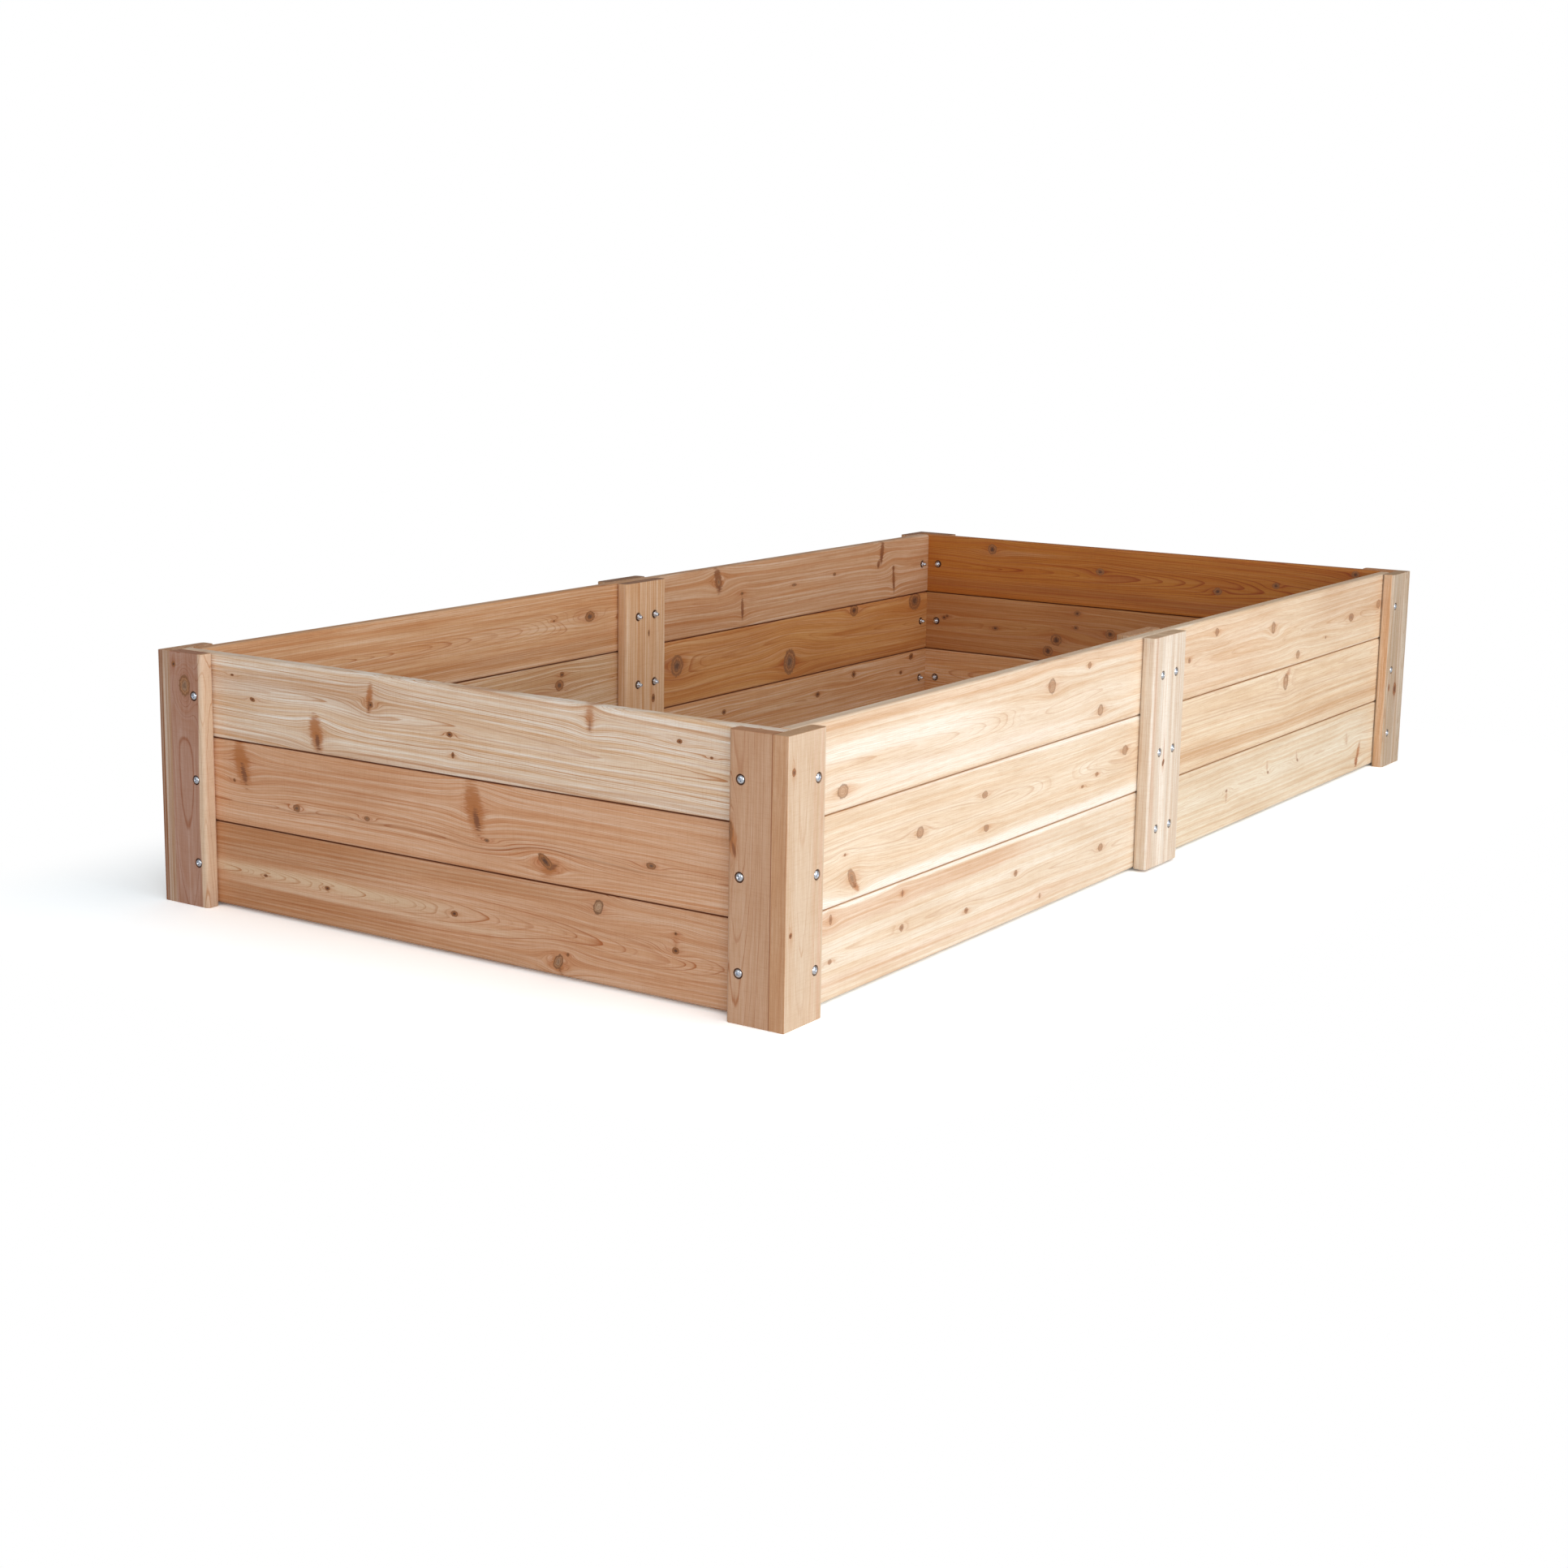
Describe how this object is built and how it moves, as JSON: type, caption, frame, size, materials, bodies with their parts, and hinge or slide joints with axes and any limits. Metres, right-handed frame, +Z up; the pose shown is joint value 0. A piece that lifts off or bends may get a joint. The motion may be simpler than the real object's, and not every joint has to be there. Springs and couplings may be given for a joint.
{
  "type": "raised garden bed",
  "caption": "Long low bottomless box of cedar boards on edge, with lapped corner posts and centre braces through-bolted to the walls.",
  "frame": {"origin": "on the ground under the centre of the bed", "axes": "+X along the length, +Y across the width, +Z up; the front is the long side at -Y and the left end is at -X"},
  "size_m": [2.4404, 1.2212, 0.417],
  "materials": {
    "long_wall_cedar": "unfinished cedar, smooth planed, knotty, pale cream to tan",
    "end_wall_cedar": "unfinished cedar, smooth planed, knotty, tan to orange-brown",
    "post_cedar": "unfinished cedar, smooth planed, sawn ends, pinkish tan",
    "brace_cedar": "unfinished cedar, smooth planed, sawn ends, pale tan",
    "zinc_steel": "bright zinc-plated steel"
  },
  "bodies": {
    "root": {"front_wall_left_board_bottom": "long_wall_cedar", "front_wall_right_board_bottom": "long_wall_cedar", "back_wall_left_board_bottom": "long_wall_cedar", "back_wall_right_board_bottom": "long_wall_cedar", "left_end_board_bottom": "end_wall_cedar", "right_end_board_bottom": "end_wall_cedar", "front_wall_left_board_middle": "long_wall_cedar", "front_wall_right_board_middle": "long_wall_cedar", "back_wall_left_board_middle": "long_wall_cedar", "back_wall_right_board_middle": "long_wall_cedar", "left_end_board_middle": "end_wall_cedar", "right_end_board_middle": "end_wall_cedar", "front_wall_left_board_top": "long_wall_cedar", "front_wall_right_board_top": "long_wall_cedar", "back_wall_left_board_top": "long_wall_cedar", "back_wall_right_board_top": "long_wall_cedar", "left_end_board_top": "end_wall_cedar", "right_end_board_top": "end_wall_cedar", "front_left_corner_side_board": "post_cedar", "front_left_corner_end_board": "post_cedar", "front_left_corner_bolts": "zinc_steel", "front_left_corner_nuts": "zinc_steel", "front_right_corner_side_board": "post_cedar", "front_right_corner_end_board": "post_cedar", "front_right_corner_bolts": "zinc_steel", "front_right_corner_nuts": "zinc_steel", "front_outer_brace": "brace_cedar", "front_inner_brace": "brace_cedar", "front_brace_bolts": "zinc_steel", "front_brace_nuts": "zinc_steel", "back_left_corner_side_board": "post_cedar", "back_left_corner_end_board": "post_cedar", "back_left_corner_bolts": "zinc_steel", "back_left_corner_nuts": "zinc_steel", "back_right_corner_side_board": "post_cedar", "back_right_corner_end_board": "post_cedar", "back_right_corner_bolts": "zinc_steel", "back_right_corner_nuts": "zinc_steel", "back_outer_brace": "brace_cedar", "back_inner_brace": "brace_cedar", "back_brace_bolts": "zinc_steel", "back_brace_nuts": "zinc_steel"}
  },
  "joints": []
}
